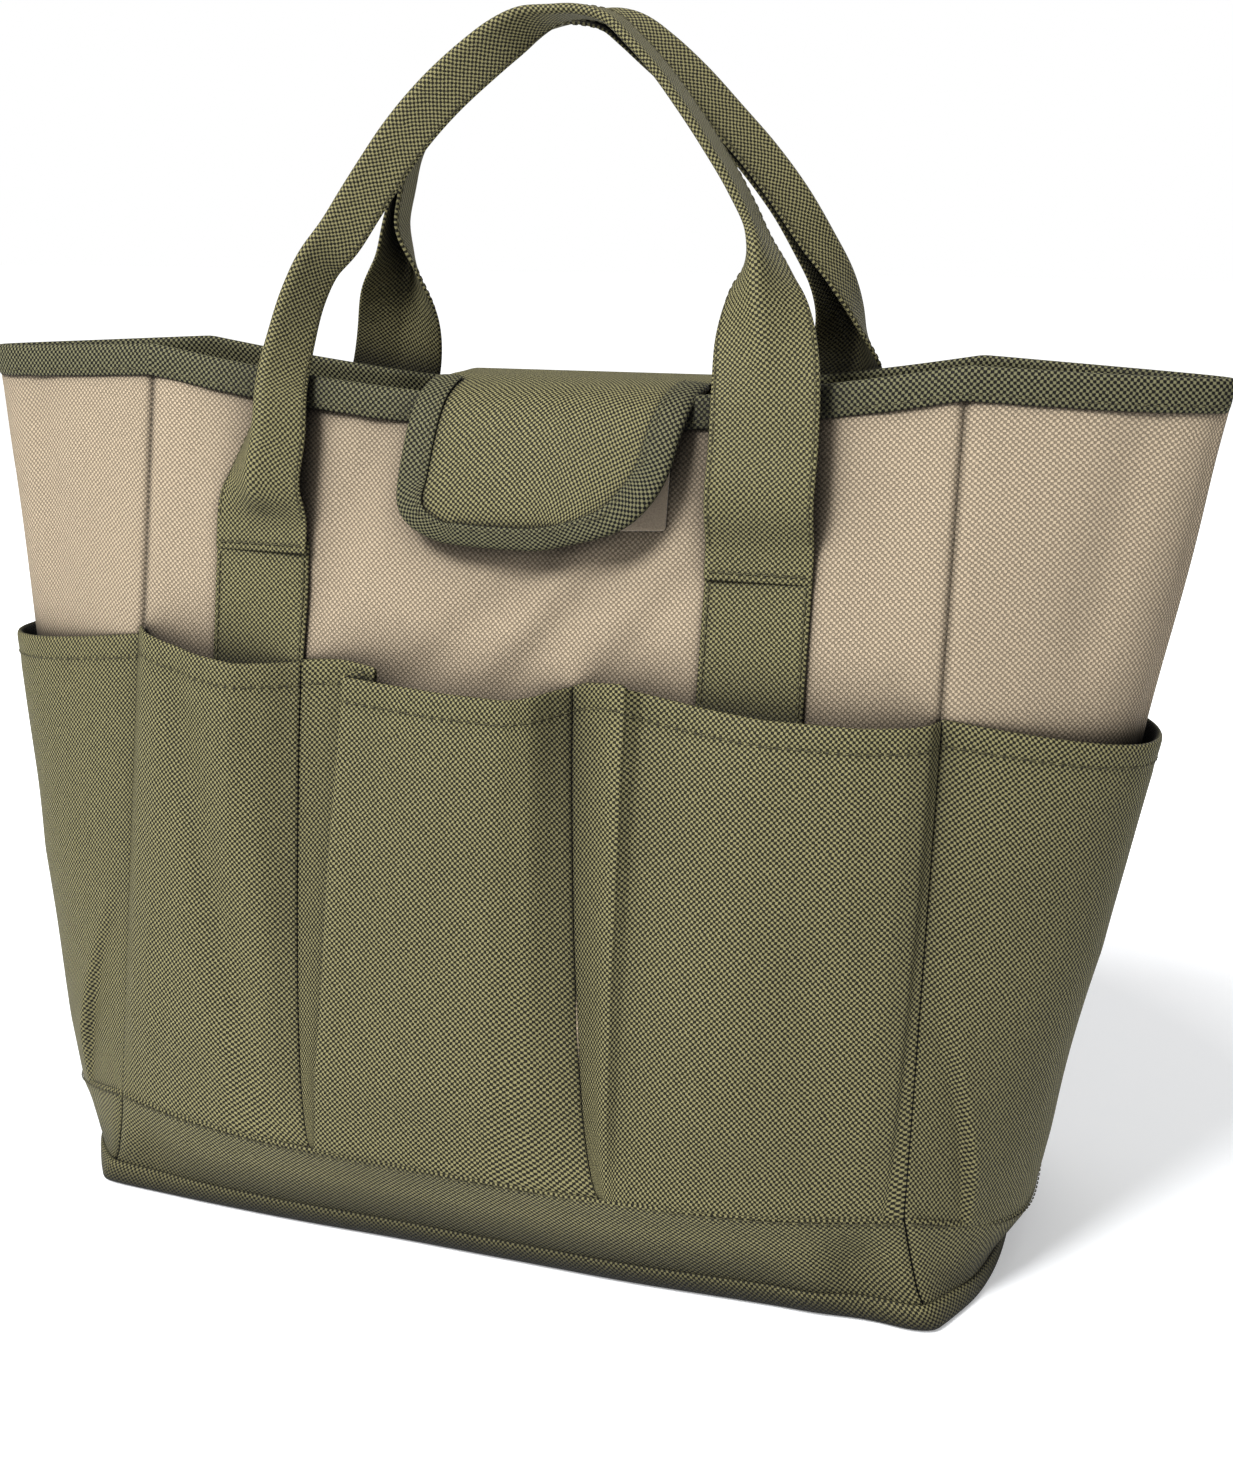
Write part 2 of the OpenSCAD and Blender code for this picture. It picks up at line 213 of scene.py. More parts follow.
def wrinkles(x, h, folds):
    """Soft folds: each runs from one point to another of the cloth and fades at its ends."""
    out = 0 * (x + h)
    for x0, h0, x1, h1, width, height in folds:
        run = math.hypot(x1 - x0, h1 - h0)
        a = ((x - x0) * (x1 - x0) + (h - h0) * (h1 - h0)) / run**2
        d = ((x - x0) * (h1 - h0) - (h - h0) * (x1 - x0)) / run
        past_end = np.clip(np.abs(a - 0.5) - 0.3, 0, 9)
        out = out + height * bump(d, 0, width) * bump(past_end, 0, 0.22)
    return out


def settled(p):
    """Every layer of the bag takes part in the same dents of its lower edge."""
    return push_out(p, corner_crumple(p)) if p[..., 2].min() < 60 else p


def waves(u, v, size, height, seed):
    """Slow unevenness of hanging cloth, as a sum of slanted waves."""
    r = np.random.default_rng(seed)
    out = 0 * (u + v)
    for k in range(6):
        angle = r.uniform(0, math.pi)
        scale = size * r.uniform(0.6, 1.6)
        along = u * math.cos(angle) + v * math.sin(angle)
        out = out + np.sin(along * 2 * math.pi / scale + r.uniform(0, 6.3))
    return height * out / 6


# ---------------------------------------------------------------- mesh helpers
def lengths(p, axis):
    """Length along a grid of points, from its first row or column."""
    step = np.linalg.norm(np.diff(p, axis=axis), axis=-1)
    zero = np.zeros_like(np.take(step, [0], axis))
    return np.concatenate([zero, np.cumsum(step, axis)], axis)


def fabric_uv(p):
    """Cloth coordinates in millimetres: across at mid height, and up along each column."""
    u = lengths(p, 1)
    mid = u[len(u) // 2]
    v = lengths(p, 0)
    return np.stack([np.broadcast_to(mid, u.shape), v], -1)


def grid_mesh(name, p, uv=None, closed=False, flip=False):
    """Mesh of a grid of points in millimetres; closed joins the last column to the first."""
    if uv is None:
        uv = fabric_uv(p)
    n, m = p.shape[:2]
    mesh = bpy.data.meshes.new(name)
    faces, corners = [], []
    last = m if closed else m - 1
    for i in range(n - 1):
        for j in range(last):
            k = (j + 1) % m
            face = [(i, j), (i, k), (i + 1, k), (i + 1, j)]
            faces.append([a * m + b for a, b in face])
            uvs = [uv[a, b] for a, b in face]
            if k == 0:
                turn = uv[0, -1, 0] + np.linalg.norm(p[0, 0] - p[0, -1])
                uvs[1] = np.array([turn, uvs[1][1]])
                uvs[2] = np.array([turn, uvs[2][1]])
            corners.append(uvs)
    if flip:
        faces = [f[::-1] for f in faces]
        corners = [c[::-1] for c in corners]
    mesh.from_pydata((settled(p).reshape(-1, 3) * MM).tolist(), [], faces)
    layer = mesh.uv_layers.new(name="cloth")
    layer.data.foreach_set("uv", np.array(corners, float).ravel())
    mesh.polygons.foreach_set("use_smooth", [True] * len(faces))
    obj = bpy.data.objects.new(name, mesh)
    bpy.context.scene.collection.objects.link(obj)
    return obj


def settle(obj):
    """Applies an object's modifiers to its mesh."""
    dg = bpy.context.evaluated_depsgraph_get()
    mesh = bpy.data.meshes.new_from_object(obj.evaluated_get(dg))
    obj.modifiers.clear()
    obj.data = mesh
    return obj


def thicken(obj, thickness, offset=0.0, smooth=1):
    """Gives a sheet its thickness in millimetres and one smoothing pass."""
    solid = obj.modifiers.new("thickness", "SOLIDIFY")
    solid.thickness = thickness * MM
    solid.offset = offset
    if smooth:
        soft = obj.modifiers.new("smooth", "SUBSURF")
        soft.levels = soft.render_levels = smooth
    return settle(obj)


def dress(obj, material, body, slot, *nodes):
    """Material, body and the CAD nodes that a piece stands for; slot is not used."""
    obj.data.materials.clear()
    obj.data.materials.append(material)
    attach(obj, body)
    if nodes:
        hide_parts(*nodes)
    return obj


def stitches(name, lines, body, slot, material, pitch=3.4, length=2.6, radius=0.3):
    """Thread stitches along lines of points, each with the way out of the cloth."""
    verts, faces = [], []
    ring = [(math.cos(a), math.sin(a)) for a in np.arange(6) * math.pi / 3]
    for points, normals in lines:
        points, normals = np.asarray(points, float), np.asarray(normals, float)
        at = lengths(points[None], 1)[0]
        for c in np.arange(pitch / 2, at[-1], pitch):
            ends = [[np.interp(c + d, at, points[:, i]) for i in range(3)] for d in (-length / 2, length / 2)]
            a, b = np.array(ends)
            n = np.array([np.interp(c, at, normals[:, i]) for i in range(3)])
            n /= np.linalg.norm(n)
            along = (b - a) / max(np.linalg.norm(b - a), 1e-6)
            side = np.cross(along, n)
            base = len(verts)
            for f, k, lift in ((0, 0.5, -0.15), (0.2, 1, 0.12), (0.8, 1, 0.12), (1, 0.5, -0.15)):
                for x, y in ring:
                    verts.append((mix(a, b, f) + radius * k * (x * side + y * n) + n * lift) * MM)
            for i in range(3):
                for j in range(6):
                    q = base + i * 6
                    faces.append((q + j, q + (j + 1) % 6, q + 6 + (j + 1) % 6, q + 6 + j))
            faces.append(tuple(base + j for j in range(5, -1, -1)))
            faces.append(tuple(base + 18 + j for j in range(6)))
    mesh = bpy.data.meshes.new(name)
    mesh.from_pydata([tuple(v) for v in verts], [], faces)
    mesh.polygons.foreach_set("use_smooth", [True] * len(faces))
    obj = bpy.data.objects.new(name, mesh)
    bpy.context.scene.collection.objects.link(obj)
    return dress(obj, material, body, slot)


# ---------------------------------------------------------------- materials
class Nodes:
    """Short names for building a node material."""

    def __init__(self, name, roughness, sheen=0.0):
        self.material = bpy.data.materials.new(name)
        self.material.use_nodes = True
        self.tree = self.material.node_tree
        self.shader = self.tree.nodes["Principled BSDF"]
        self.shader.inputs["Roughness"].default_value = roughness
        self.shader.inputs["Sheen Weight"].default_value = sheen
        self.shader.inputs["Specular IOR Level"].default_value = 0.2

    def link(self, a, b):
        if isinstance(a, (int, float, tuple)):
            b.default_value = a
        else:
            self.tree.links.new(a, b)

    def math(self, kind, *values):
        node = self.tree.nodes.new("ShaderNodeMath")
        node.operation = kind
        for k, value in enumerate(values):
            self.link(value, node.inputs[k])
        return node.outputs[0]

    def mix(self, factor, a, b):
        node = self.tree.nodes.new("ShaderNodeMix")
        node.data_type = "RGBA"
        self.link(factor, node.inputs[0])
        self.link(a, node.inputs[6])
        self.link(b, node.inputs[7])
        return node.outputs[2]

    def noise(self, vector, scale, detail=3.0):
        node = self.tree.nodes.new("ShaderNodeTexNoise")
        node.inputs["Scale"].default_value = scale
        node.inputs["Detail"].default_value = detail
        self.link(vector, node.inputs["Vector"])
        return node.outputs["Fac"]

    def cloth(self):
        return self.tree.nodes.new("ShaderNodeUVMap").outputs[0]

    def place(self):
        return self.tree.nodes.new("ShaderNodeNewGeometry").outputs["Position"]

    def bump(self, height, distance, strength=1.0):
        node = self.tree.nodes.new("ShaderNodeBump")
        node.inputs["Strength"].default_value = strength
        node.inputs["Distance"].default_value = distance
        self.link(height, node.inputs["Height"])
        self.link(node.outputs[0], self.shader.inputs["Normal"])


def colour(rgb, k=1.0):
    return tuple(c * k for c in rgb) + (1.0,)


def weave(name, rgb, cell, contrast, depth, roughness):
    """Crossing threads: a checkerboard of light floats and dark gaps, broken up by fibre noise, with painted
    shade that darkens the colour in creases and hollows.
    """
    m = Nodes(name, roughness, 0.02)
    split = m.tree.nodes.new("ShaderNodeSeparateXYZ")
    m.link(m.cloth(), split.inputs[0])
    wobble = m.noise(m.cloth(), 0.12, 2.0)
    shift = m.math("MULTIPLY", m.math("SUBTRACT", wobble, 0.5), 1.2)
    u = m.math("ADD", split.outputs[0], shift)
    v = m.math("ADD", split.outputs[1], shift)
    su = m.math("SINE", m.math("MULTIPLY", u, math.pi / cell[0]))
    sv = m.math("SINE", m.math("MULTIPLY", v, math.pi / cell[1]))
    both = m.math("MULTIPLY", su, sv)
    fibre = m.noise(m.cloth(), 1.7, 3.0)
    patch = m.noise(m.place(), 16.0, 4.0)
    over = m.math("MULTIPLY_ADD", m.math("ADD", both, m.math("MULTIPLY_ADD", fibre, 1.2, -0.6)), 2.0, 0.5)
    over = m.math("MINIMUM", m.math("MAXIMUM", over, 0.0), 1.0)
    tone = m.math("MULTIPLY", over, m.math("MULTIPLY_ADD", patch, 0.24, 0.88))
    dark, light = colour(rgb, 1 - contrast), colour(rgb, 1 + contrast)
    # Painted shade: the ambient occlusion node darkens the base colour towards black in creases, valleys and
    # between parts.
    crease = m.tree.nodes.new("ShaderNodeAmbientOcclusion")
    crease.samples = 8
    crease.inputs["Distance"].default_value = 0.03
    shade = m.math("POWER", crease.outputs["AO"], 2.1)
    painted_shade_black = colour((0.0, 0.0, 0.0))
    m.link(m.mix(shade, painted_shade_black, m.mix(tone, dark, light)), m.shader.inputs["Base Color"])
    m.bump(m.math("ADD", over, m.math("MULTIPLY", fibre, 0.3)), depth * MM)
    return m.material


def plain(name, rgb, grain, depth, roughness, sheen=0.0):
    """Thread, tape or plastic: one colour broken up by fine and broad noise."""
    m = Nodes(name, roughness, sheen)
    fine = m.noise(m.place(), grain, 4.0)
    broad = m.noise(m.place(), 20.0, 3.0)
    tone = m.math("ADD", m.math("MULTIPLY", fine, 0.7), m.math("MULTIPLY", broad, 0.3))
    m.link(m.mix(tone, colour(rgb, 0.55), colour(rgb, 1.45)), m.shader.inputs["Base Color"])
    m.bump(fine, depth * MM)
    return m.material


TAN = (0.378, 0.302, 0.21)
OLIVE = (0.14, 0.127, 0.059)
DARK = (0.088, 0.084, 0.044)
tan_cloth = weave("tan_oxford", TAN, (1.05, 1.05), 0.42, 0.35, 0.72)
olive_cloth = weave("olive_oxford", OLIVE, (1.05, 1.05), 0.93, 0.5, 0.66)
strap_cloth = weave("strap_oxford", OLIVE, (1.0, 1.0), 0.9, 0.4, 0.62)
webbing = weave("binding_webbing", DARK, (1.15, 1.15), 0.97, 0.5, 0.7)
olive_thread = plain("olive_thread", (0.075, 0.068, 0.034), 3000, 0.05, 0.5)
loop_tape = plain("loop_tape", (0.26, 0.21, 0.15), 1500, 0.5, 0.95, 0.4)
hook_tape = plain("hook_tape", (0.06, 0.055, 0.035), 1200, 0.6, 0.6)
board_plastic = plain("board_plastic", (0.02, 0.02, 0.02), 400, 0.05, 0.45)

# ---------------------------------------------------------------- camera, lights and floor
CAMERA_AT = (0.247, -0.692, 0.410)
CAMERA_PITCH = 16.3
CAMERA_HEADING = 17.7
bpy.context.scene.view_settings.view_transform = "Standard"
camera = bpy.data.objects.new("camera", bpy.data.cameras.new("camera"))
camera.location = CAMERA_AT
camera.rotation_euler = (math.radians(90 - CAMERA_PITCH), 0, math.radians(CAMERA_HEADING))
camera.data.lens = 45.12
camera.data.clip_start = 0.02
bpy.context.scene.collection.objects.link(camera)
bpy.context.scene.camera = camera


def area_light(name, at, size, power, target=(0, 0, 0.2)):
    lamp = bpy.data.lights.new(name, "AREA")
    lamp.shape = "DISK"
    lamp.size = size
    lamp.energy = power
    obj = bpy.data.objects.new(name, lamp)
    obj.location = at
    obj.rotation_euler = (Vector(target) - Vector(at)).to_track_quat("-Z", "Y").to_euler()
    bpy.context.scene.collection.objects.link(obj)


area_light("key", (-0.75, -1.5, 1.9), 0.8, 74)
area_light("fill", (1.6, -1.4, 0.8), 1.4, 5)
area_light("top", (0.1, 0.3, 2.2), 1.4, 10)
area_light("rear", (0.9, 2.0, 1.1), 1.4, 9)


def white_studio():
    """White all round for the camera, with less light than that falling on the bag."""
    world = bpy.data.worlds.new("studio")
    world.use_nodes = True
    tree = world.node_tree
    shade = tree.nodes["Background"]
    shade.inputs[0].default_value = (1, 1, 1, 1)
    shade.inputs[1].default_value = 0.24
    seen = tree.nodes.new("ShaderNodeBackground")
    seen.inputs[0].default_value = (1, 1, 1, 1)
    seen.inputs[1].default_value = 1.0
    path = tree.nodes.new("ShaderNodeLightPath")
    choose = tree.nodes.new("ShaderNodeMixShader")
    tree.links.new(path.outputs["Is Camera Ray"], choose.inputs[0])
    tree.links.new(shade.outputs[0], choose.inputs[1])
    tree.links.new(seen.outputs[0], choose.inputs[2])
    tree.links.new(choose.outputs[0], tree.nodes["World Output"].inputs[0])
    bpy.context.scene.world = world


white_studio()


def make_floor():
    """A pale floor with a painted glow, seen by the camera only, that grows brighter away from the bag, so
    that it has no far edge; near the bag the glow lightens the bag's shadow on the floor.
    """
    mesh = bpy.data.meshes.new("floor")
    mesh.from_pydata([(-9, -9, 0), (9, -9, 0), (9, 9, 0), (-9, 9, 0)], [], [(0, 1, 2, 3)])
    obj = bpy.data.objects.new("floor", mesh)
    bpy.context.scene.collection.objects.link(obj)
    m = Nodes("pale_floor", 0.6)
    grey = m.mix(m.noise(m.place(), 60.0), colour((0.84, 0.86, 0.89)), colour((0.88, 0.89, 0.91)))
    m.link(grey, m.shader.inputs["Base Color"])
    away = m.tree.nodes.new("ShaderNodeVectorMath")
    away.operation = "LENGTH"
    m.link(m.place(), away.inputs[0])
    # Painted glow: never below 0.3, so the bag's shadow on the floor is lightened, and strongest further
    # away.
    glow = m.math("MULTIPLY", m.math("SUBTRACT", away.outputs["Value"], 0.22), 2.6)
    glow = m.math("MINIMUM", m.math("MAXIMUM", glow, 0.3), 0.9)
    seen = m.tree.nodes.new("ShaderNodeLightPath").outputs["Is Camera Ray"]
    glow = m.math("MULTIPLY", glow, seen)
    m.link((1.0, 1.0, 1.0, 1.0), m.shader.inputs["Emission Color"])
    m.link(glow, m.shader.inputs["Emission Strength"])
    mesh.materials.append(m.material)


make_floor()

# ---------------------------------------------------------------- walls
PANEL_ROWS = np.concatenate([np.linspace(1.4, BAND_H, 14)[:-1], np.linspace(BAND_H, RIM_H, 84)])


def edge_groove(x, width=2.5, depth=1.2):
    """The seam allowance pulls both walls in along their shared seam."""
    return -depth * np.exp(-(((1 - np.abs(x)) * HALF_W / width) ** 2))


# A fold runs from a place across and height to another, with its width and how far it stands out.
PANEL_FOLDS = [
    (10, 285, -45, 225, 9, -2.0), (52, 300, -5, 228, 8, -2.2), (72, 285, 30, 225, 7, -1.6),
    (-60, 335, -88, 250, 9, -2.2), (30, 300, 0, 250, 7, 1.2), (128, 330, 118, 240, 9, 1.3),
    (-140, 340, -146, 260, 8, -1.2), (150, 250, 158, 200, 6, -1.5),
]
POCKET_FOLDS = [
    (-143, 222, -100, 80, 8, -3.2), (-122, 225, -92, 120, 8, 1.2), (-30, 222, -38, 90, 22, 1.6),
    (10, 210, 25, 80, 12, -1.6), (95, 215, 88, 70, 22, 1.8), (122, 150, 135, 60, 12, -1.6),
    (40, 120, 75, 60, 12, -1.0),
]
GUSSET_FOLDS = [(-30, 340, -38, 240, 7, -2.2), (26, 335, 38, 240, 8, -1.8)]


def swell(s, h, where):
    """How far the loose cloth of the front or back wall stands out, with what is sewn on it."""
    free = ease((h - 60) / 60) * (1 - s**8)
    soft = waves(s * HALF_W, h, 150, 2.2, {"front": 3, "back": 5}[where])
    return free * (soft + wrinkles(s * HALF_W, h, PANEL_FOLDS))


def front_wall(where):
    s, h = np.meshgrid(np.linspace(-1, 1, 97), PANEL_ROWS)
    return front_at(s, h, FABRIC / 2 + edge_groove(s) + swell(s, h, where))


def gusset_wall(side, seed):
    t, h = np.meshgrid(np.linspace(-1, 1, 91), PANEL_ROWS)
    free = ease((h - 60) / 60) * (1 - t**8) * (1 - ease((h - 300) / 50))
    crease = 1.5 * bump(t, 0, 0.06) * ease((h - 120) / 100)
    off = FABRIC / 2 + edge_groove(t) + free * waves(t * 80, h, 120, 2.8, seed) + crease
    low = ease((350 - h) / 25)
    off = off + low * (1 - t**6) * wrinkles(t * 60, h, GUSSET_FOLDS)
    return side_at(t, h, off, side)


def build_walls():
    for where, p in (("front", front_wall("front")), ("back", behind(front_wall("back")))):
        obj = thicken(grid_mesh("wall_" + where, p, flip=where == "back"), FABRIC, smooth=0)
        dress(obj, tan_cloth, "bag", "panel_fabric", where + "_panel")
    for side, word in ((-1, "left"), (1, "right")):
        p = gusset_wall(side, 8 + side)
        obj = thicken(grid_mesh("gusset_" + word, p, flip=side < 0), FABRIC, smooth=0)
        dress(obj, tan_cloth, "bag", "panel_fabric", "side_panel_" + word)


build_walls()


# ---------------------------------------------------------------- base
def loop_at(h, off, n_front=90, n_side=60):
    """A closed level loop round the bag, from the front left seam, counterclockwise."""
    s = np.linspace(-1, 1, n_front)[:-1]
    t = np.linspace(-1, 1, n_side)[:-1]
    parts = [
        front_at(s, h, off), side_at(t, h, off, 1), behind(front_at(-s, h, off)),
        side_at(-t, h, off, -1),
    ]
    return np.concatenate(parts)


def band_part(where, side=0):
    s = np.linspace(-1, 1, 110 if not side else 72)
    h = np.concatenate([np.linspace(8, BAND_H, 22), [BAND_H + 0.6, BAND_H + 0.2, BAND_H - 4]])
    lift = np.concatenate([np.full(22, 0.0), [-0.5, -1.1, -1.3]])
    ss, hh = np.meshgrid(s, h)
    off = LAYER + 1.0 + lift[:, None] + edge_groove(ss) + 0.5 * bump(hh, BAND_H - 3, 4)
    p = front_at(ss, hh, off) if not side else side_at(ss, hh, off, side)
    return behind(p) if where == "back" else p


def build_base():
    for word in ("front", "back"):
        p = band_part(word)
        obj = thicken(grid_mesh("band_" + word, p, flip=word == "back"), BAND_CLOTH)
        dress(obj, olive_cloth, "bag", "pocket_fabric", "base_band_" + word)
    for side, word in ((-1, "left"), (1, "right")):
        obj = thicken(grid_mesh("band_" + word, band_part(word, side), flip=side < 0), BAND_CLOTH)
        dress(obj, olive_cloth, "bag", "pocket_fabric", "base_band_" + word)
    edge = ((10.5, 2.2), (10.8, 3.2), (9.5, 4.2), (6, 4.8), (3, 4.9), (1.2, 4.3))
    rows = [loop_at(h, off) for h, off in edge]
    last = loop_at(0.0, 3.0)
    centre = np.array([0, 0, 0.6])
    under = [mix(last, centre, k) * [1, 1, 0] + [0, 0, 0.55] for k in (0.0, 0.15, 0.4, 0.7, 0.97)]
    p = np.stack(rows + under)
    p[:6, :, 2] = np.maximum(p[:6, :, 2], 0.6)
    obj = thicken(grid_mesh("base_tray", p, closed=True, flip=True), POCKET_CLOTH)
    dress(obj, olive_cloth, "bag", "pocket_fabric", "base_panel")
    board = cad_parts["base_board"]
    board.data.materials.clear()
    board.data.materials.append(board_plastic)


build_base()

# ---------------------------------------------------------------- front and back pockets
# A key is the place across at the bottom and at the top, the fullness there and the height of the hem.
LEFT_POCKET = [
    (-165, -165, 0.8, 238.5), (-158, -158, 8, 237.5), (-148, -147, 12, 235.5), (-128, -130, 14, 232.5),
    (-106, -113, 12.5, 230), (-84, -102, 7.5, 230), (-72, -94, 2.6, 230), (-66, -89, 0.6, 230.5),
]
CENTER_POCKET = [
    (-66, -89, 0.6, 231), (-65.5, -80, 3, 232.5), (-64.8, -68, 6.5, 234), (-61, -52, 13.8, 234),
    (-60.4, -50.5, 14.6, 233.5), (-61, -52, 11, 233), (-64.6, -60, 14, 231.5), (-65.8, -62.8, 16.2, 231),
    (-65.2, -61.8, 18.4, 230.5), (-60, -56, 18.2, 230), (-45, -43, 16.4, 228.5), (-20, -20, 16.4, 227),
    (10, 4, 15.6, 226), (32, 13, 12, 227), (46, 20, 5, 228.5), (56, 26, 0.6, 229.5),
]
RIGHT_POCKET = [
    (56, 26, 0.6, 230), (56, 34, 6.5, 233), (56.6, 46, 15.5, 235.5), (57.2, 49.5, 17.2, 236),
    (58, 51.2, 17.4, 235.5), (58.6, 52, 16.2, 234), (60.5, 57, 11.5, 232), (66, 66, 11.5, 230.5),
    (80, 82, 13, 228.5), (100, 104, 15, 226.5), (130, 137, 14.5, 225.5), (149, 155, 11.5, 226),
    (156, 161.5, 7.5, 226.5), (157.5, 163.5, 3, 226.5), (165, 165, 0.8, 226.5),
]
HEM = 10.0
POCKET_RISE = 180.0
# Rows of a pocket from the band to its top, then the hem turned down inside.
TURNED_DOWN = [1.003, 1.0, 1 - HEM * 0.5 / POCKET_RISE, 1 - HEM / POCKET_RISE]
POCKET_ROWS = np.concatenate([np.linspace(0, 1, 66), TURNED_DOWN])
ROW_DEPTH = np.concatenate([np.zeros(66), [-1.0, -2.0, -2.3, -2.3]])
STITCH_ROW = 62


def refine(keys, step=2.6):
    """Points between the keys, close enough for a smooth fold and kept at the keys themselves."""
    keys = np.array(keys, float)
    out = []
    for a, b in zip(keys[:-1], keys[1:]):
        n = max(2, int(round(math.hypot(b[1] - a[1], b[2] - a[2]) / step)))
        out += [mix(a, b, i / n) for i in range(n)]
    out = np.array(out + [keys[-1]])
    full = out[:, 2].copy()
    soft = full.copy()
    soft[1:-1] = (full[:-2] + 2 * full[1:-1] + full[2:]) / 4
    out[:, 2] = mix(full, soft, 0.5)
    return out


def hem_groove(v):
    """The row of stitches draws the cloth in a little below a pocket's hem."""
    return 0.5 * bump(v, 1 - HEM / POCKET_RISE, 0.008)


def front_pocket(keys, seed):
    """Outer face from the band to the hem, then the hem turned down inside."""
    k = refine(keys)
    vv, top = np.meshgrid(POCKET_ROWS, k[:, 3], indexing="ij")
    rise = np.clip(vv, 0, 1)
    x = mix(k[:, 0], k[:, 1], rise**0.55)
    full = k[:, 2] * (0.3 + 0.7 * rise) * np.minimum(1, 5 * rise + 0.12)
    mid = np.interp(np.arange(len(k)), [0, len(k) / 2, len(k) - 1], [0, 1, 0])
    up = vv * POCKET_RISE
    full = full + mid * waves(x, up, 90, 2.0, seed) * ease(rise * 3) + wrinkles(x, BAND_H + up, POCKET_FOLDS)
    off = LAYER + 0.5 + full + ROW_DEPTH[:, None] - hem_groove(vv)
    s = x / HALF_W
    z = mix(BAND_H - 1.5, top, vv)
    return front_at(s, z + droop(s, z), off)


def hem_line(p, row, inset=0.0):
    """The outer points of one row of a pocket and the way out of the cloth there."""
    points = p[row]
    along = np.gradient(points, axis=0)
    up = p[row] - p[row - 1]
    n = np.cross(along, up)
    n /= np.maximum(np.linalg.norm(n, axis=-1, keepdims=True), 1e-6)
    return points + n * (0.45 + inset), n


hems = []


def build_front_pockets():
    pockets = (("left", LEFT_POCKET, 21), ("center", CENTER_POCKET, 22), ("right", RIGHT_POCKET, 23))
    for word, keys, seed in pockets:
        for where in ("front", "back"):
            p = front_pocket(keys, seed + (10 if where == "back" else 0))
            line, n = hem_line(p, STITCH_ROW)
            if where == "back":
                p, line, n = behind(p), behind(line), behind(n)
            hems.append((line, n))
            obj = thicken(grid_mesh(f"pocket_{where}_{word}_cloth", p, flip=where == "back"), POCKET_CLOTH)
            dress(obj, olive_cloth, "bag", "pocket_fabric", f"pocket_{where}_{word}")


build_front_pockets()


# ---------------------------------------------------------------- side pockets
def side_pocket(side, seed):
    """A pocket round the gusset, tucked into pleats at the foot of both corner seams."""
    vv, tt = np.meshgrid(POCKET_ROWS, np.linspace(-1, 1, 161), indexing="ij")
    rise = np.clip(vv, 0, 1)
    full = 6.5 * (0.25 + 0.75 * rise) * np.minimum(1, 7 * rise + 0.1) * (1 - tt**4)
    low = 1 - ease(rise / 0.55)
    edge = 1 - np.abs(tt)
    ridge = mix(0.2, 0.02, ease(rise / 0.6))
    tuck = -3.4 * ease(edge / 0.05)
    fold = mix(tuck, 4.2 * np.exp(-np.maximum(edge - ridge, 0) / 0.12), ease((edge - ridge + 0.02) / 0.04))
    full = full + low * fold * np.minimum(1, 6 * rise + 0.3)
    full = full + waves(tt * 80, vv * POCKET_RISE, 80, 1.2, seed) * ease(rise * 3) * (1 - tt**6)
    off = np.maximum(LAYER + 0.4, LAYER + 0.5 + full) + ROW_DEPTH[:, None] - hem_groove(vv)
    ends, sag, flare = (2, 6, 5) if side < 0 else (-1, 12, 0)
    hem = POCKET_H + ends - sag * (1 - tt**2) + flare * np.abs(tt) ** 3
    h = mix(BAND_H - 1.5, hem, vv)
    return side_at(tt, h, off, side)


def build_side_pockets():
    for side, word in ((-1, "left"), (1, "right")):
        p = side_pocket(side, 31 + side)
        line, n = hem_line(p, STITCH_ROW)
        hems.append((line - 0.9 * n if side < 0 else line, side * n))
        obj = thicken(grid_mesh(f"pocket_side_{word}_cloth", p, flip=side < 0), POCKET_CLOTH)
        dress(obj, olive_cloth, "bag", "pocket_fabric", f"pocket_side_{word}")


build_side_pockets()


# ---------------------------------------------------------------- rim binding
def channel_section():
    """Depth below the rim and distance from the cloth's middle, round a folded webbing."""
    outer = [(BINDING, 1.5), (9, 1.9), (5, 2.0), (1.5, 1.9), (-0.6, 1.5), (-1.3, 0.8)]
    return outer + [(-1.5, 0.0)] + [(d, -n) for d, n in outer[::-1]]


def channel_mesh(name, edge, into, normal, closed, seed):
    """Webbing folded over an edge given by its points, the way into the cloth and the cloth's normal."""
    section = np.array(channel_section())
    n = len(edge)
    r = np.random.default_rng(seed)
    ripple = np.convolve(np.tile(r.normal(0, 1, n), 3), np.ones(9) / 9, "same")[n:2 * n]
    rows = []
    for d, o in section:
        depth = d + (0.5 * ripple if d > 8 else 0)
        rows.append(edge + into * np.reshape(depth, (-1, 1)) + normal * (o + 0.25 * ripple[:, None]))
    p = np.stack(rows)
    u = lengths(p[6][None], 1)[0]
    v = np.concatenate([[0], np.cumsum(np.linalg.norm(np.diff(section, axis=0), axis=1))])
    uv = np.stack(np.meshgrid(u, v), -1)
    return p, thicken(grid_mesh(name, p, uv=uv, closed=closed), WEBBING_CLOTH)


def rim_frame():
    """Edge points, way down and outward normal round the mouth."""
    e = loop_at(RIM_H, FABRIC / 2, 150, 60)
    low = loop_at(RIM_H - BINDING, FABRIC / 2, 150, 60)
    into = low - e
    into /= np.linalg.norm(into, axis=1, keepdims=True)
    along = np.roll(e, -1, 0) - np.roll(e, 1, 0)
    return e, into, outward(along)


def build_rim():
    e, into, n = rim_frame()
    p, obj = channel_mesh("rim_webbing", e, into, n, True, 41)
    dress(obj, webbing, "bag", "binding_webbing", "rim_binding")
    rows = ((0, 1, 2.6), (-1, -1, 2.6))
    lines = [(p[row] - into * depth + sign * n * 0.55, sign * n) for row, sign, depth in rows]
    stitches("rim_stitches", lines, "bag", "binding_webbing", olive_thread)


build_rim()


